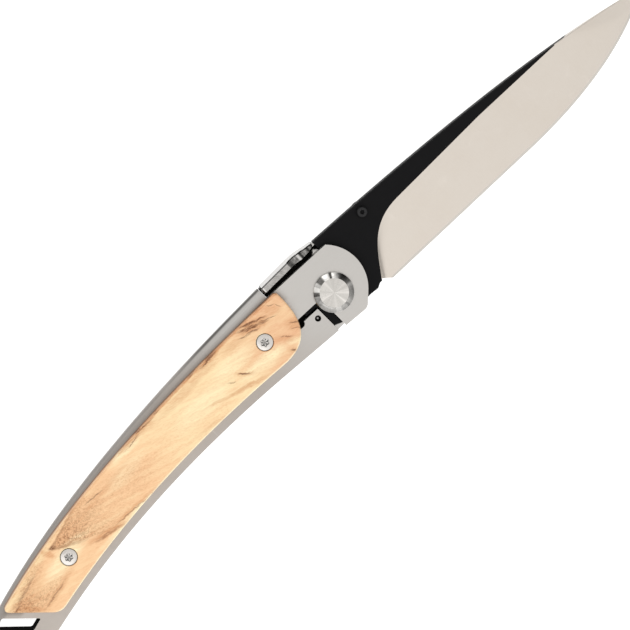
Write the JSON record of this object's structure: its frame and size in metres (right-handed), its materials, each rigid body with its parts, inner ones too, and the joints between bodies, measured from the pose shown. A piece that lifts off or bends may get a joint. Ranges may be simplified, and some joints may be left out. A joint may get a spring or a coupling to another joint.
{
  "type": "folding pocket knife",
  "caption": "Slim frame-lock folding pocket knife: folded steel handle with a wood scale, black blade with a bright flat grind, and a sprung belt clip.",
  "frame": {"origin": "under the middle of the open knife's bounding box, on the level it rests on", "axes": "+X from the handle to the blade's tip, +Y towards the blade's spine, +Z out of the wood scale"},
  "size_m": [0.2026, 0.0222, 0.0095],
  "materials": {
    "satin_steel": "satin, finely bead-blasted sheet",
    "polished_steel": "polished",
    "turned_steel": "fine turned rings",
    "washer_bronze": "plain sheet bronze",
    "black_coating": "black coating on the flats, satin steel on the ground bevels",
    "pale_wood": "oiled, with brown figure"
  },
  "bodies": {
    "handle": {"handle_frame": "satin_steel", "wood_scale": "pale_wood", "scale_screw_1": "turned_steel", "scale_screw_2": "turned_steel", "pivot_barrel": "turned_steel", "pivot_screw": "turned_steel", "washer_front": "washer_bronze", "washer_rear": "washer_bronze", "stop_pin": "polished_steel", "clip_mount": "polished_steel"},
    "blade": {"blade": "black_coating", "thumb_stud": "black_coating", "thumb_stud_screw": "black_coating"},
    "lock_bar": {"lock_bar": "satin_steel", "detent_ball": "polished_steel"},
    "clip": {"clip_arm": "polished_steel"}
  },
  "joints": [
    {"name": "blade_pivot", "type": "hinge", "parent": "handle", "child": "blade", "pos_m": [0.00562, -0.00116, 0.0042], "axis": [0, 0, -1], "range_deg": [0, 179], "deforming": ["lock_bar", "detent_ball"]},
    {"name": "lock_bar_flex", "type": "hinge", "parent": "handle", "child": "lock_bar", "pos_m": [-0.03443, -0.00416, 0.0063], "axis": [0, -1, 0], "range_deg": [0, 1.64]},
    {"name": "clip_flex", "type": "hinge", "parent": "handle", "child": "clip", "pos_m": [0.00002, 0.0043, 0.00225], "axis": [0, -1, 0], "range_deg": [0, 4], "stiffness_Nm_per_rad": 0.6}
  ],
  "couplings": [
    {"joint": "lock_bar_flex", "follows": "blade_pivot", "ratio": 0.00914}
  ]
}
